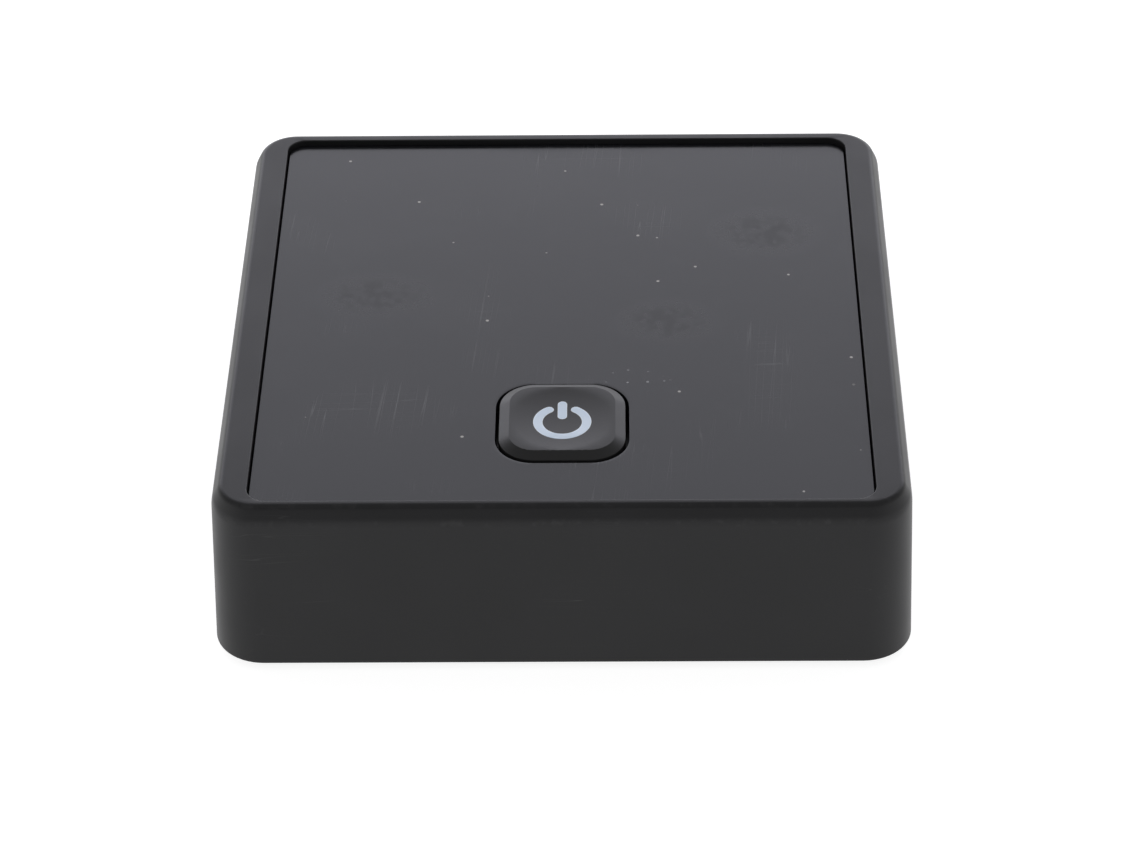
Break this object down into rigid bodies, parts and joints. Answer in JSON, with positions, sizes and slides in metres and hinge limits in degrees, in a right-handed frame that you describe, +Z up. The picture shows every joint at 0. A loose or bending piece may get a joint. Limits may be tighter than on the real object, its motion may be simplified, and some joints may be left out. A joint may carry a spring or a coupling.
{
  "type": "bluetooth audio receiver",
  "caption": "Low square black plastic box with a bevelled rim, an inset satin panel, a square power button with a pale symbol, and audio and power sockets in its rear wall.",
  "frame": {"origin": "on the table, under the middle of the whole outline", "axes": "+X to the right seen from the front, +Y from the button side to the socket side, +Z up"},
  "size_m": [0.085, 0.0926, 0.024],
  "materials": {
    "housing_black": "fine moulded grain, matt black",
    "panel_black": "smooth satin black with faint hairline scratches",
    "adhesive": "double-sided adhesive sheet",
    "base_black": "coarser moulded grain, matt black",
    "foot_rubber": "soft matt rubber",
    "screw_steel": "zinc plated, slightly dull",
    "label_sheet": "blank silver film",
    "key_black": "soft-touch matt black",
    "symbol_plastic": "translucent, pale cool white",
    "diffuser_plastic": "milky translucent",
    "board_green": "solder mask over glass laminate",
    "switch_black": "glass filled nylon",
    "tinned_steel": "tin plated",
    "spring_steel": "rolled spring steel",
    "plunger_grey": "acetal",
    "led_body": "white lamp body with clear resin",
    "radio_blue": "blue solder mask",
    "copper": "bare copper track",
    "chip_epoxy": "moulded epoxy",
    "can_aluminium": "drawn aluminium can",
    "inductor_ferrite": "pressed ferrite",
    "ceramic_tan": "fired ceramic",
    "resistor_black": "glazed alumina",
    "jack_black": "moulded nylon",
    "nickel": "nickel plated",
    "insulator_white": "white nylon",
    "insulator_red": "red nylon",
    "contact_gold": "gold flashed brass",
    "emitter_red": "clear red resin lens",
    "shutter_black": "acetal flap"
  },
  "bodies": {
    "case": {"top_housing": "housing_black", "top_panel": "panel_black", "panel_adhesive": "adhesive", "base_cover": "base_black", "rubber_feet": "foot_rubber", "case_screws": "screw_steel", "rating_label": "label_sheet", "main_board": "board_green", "board_screws": "screw_steel", "switch_body": "switch_black", "switch_cover": "tinned_steel", "switch_dome": "spring_steel", "switch_legs": "tinned_steel", "status_leds": "led_body", "bluetooth_board": "radio_blue", "bluetooth_shield": "tinned_steel", "antenna_trace": "copper", "audio_processor_chip": "chip_epoxy", "audio_converter_chip": "chip_epoxy", "flash_memory_chip": "chip_epoxy", "headphone_driver_chip": "chip_epoxy", "crystal_oscillator": "tinned_steel", "voltage_regulator": "chip_epoxy", "capacitor_cans": "can_aluminium", "capacitor_bases": "switch_black", "power_inductors": "inductor_ferrite", "ceramic_capacitors": "ceramic_tan", "chip_resistors": "resistor_black", "phono_housing": "jack_black", "phono_sleeves": "nickel", "phono_insulator_left": "insulator_white", "phono_insulator_right": "insulator_red", "phono_centre_contacts": "contact_gold", "headphone_jack_body": "jack_black", "headphone_jack_ferrule": "nickel", "headphone_contacts": "nickel", "optical_jack_body": "jack_black", "optical_emitter": "emitter_red", "shutter_pin": "screw_steel", "power_jack_body": "jack_black", "power_jack_pin": "nickel", "power_jack_contact": "nickel"},
    "button": {"power_button": "key_black", "power_symbol": "symbol_plastic", "light_diffuser": "diffuser_plastic"},
    "plunger": {"switch_plunger": "plunger_grey"},
    "shutter": {"optical_shutter": "shutter_black"}
  },
  "joints": [
    {"name": "button_press", "type": "slide", "parent": "case", "child": "button", "axis": [0, 0, -1], "range_m": [0, 0.00035], "stiffness_N_per_m": 3000, "springref_m": -0.0002},
    {"name": "switch_press", "type": "slide", "parent": "case", "child": "plunger", "axis": [0, 0, -1], "range_m": [0, 0.00035]},
    {"name": "shutter_hinge", "type": "hinge", "parent": "case", "child": "shutter", "pos_m": [-0.0135, 0.03708, 0.01765], "axis": [-1, 0, 0], "range_deg": [0, 90], "stiffness_Nm_per_rad": 0.0004, "springref_deg": -17.19}
  ],
  "couplings": [
    {"joint": "switch_press", "follows": "button_press", "ratio": 1}
  ]
}
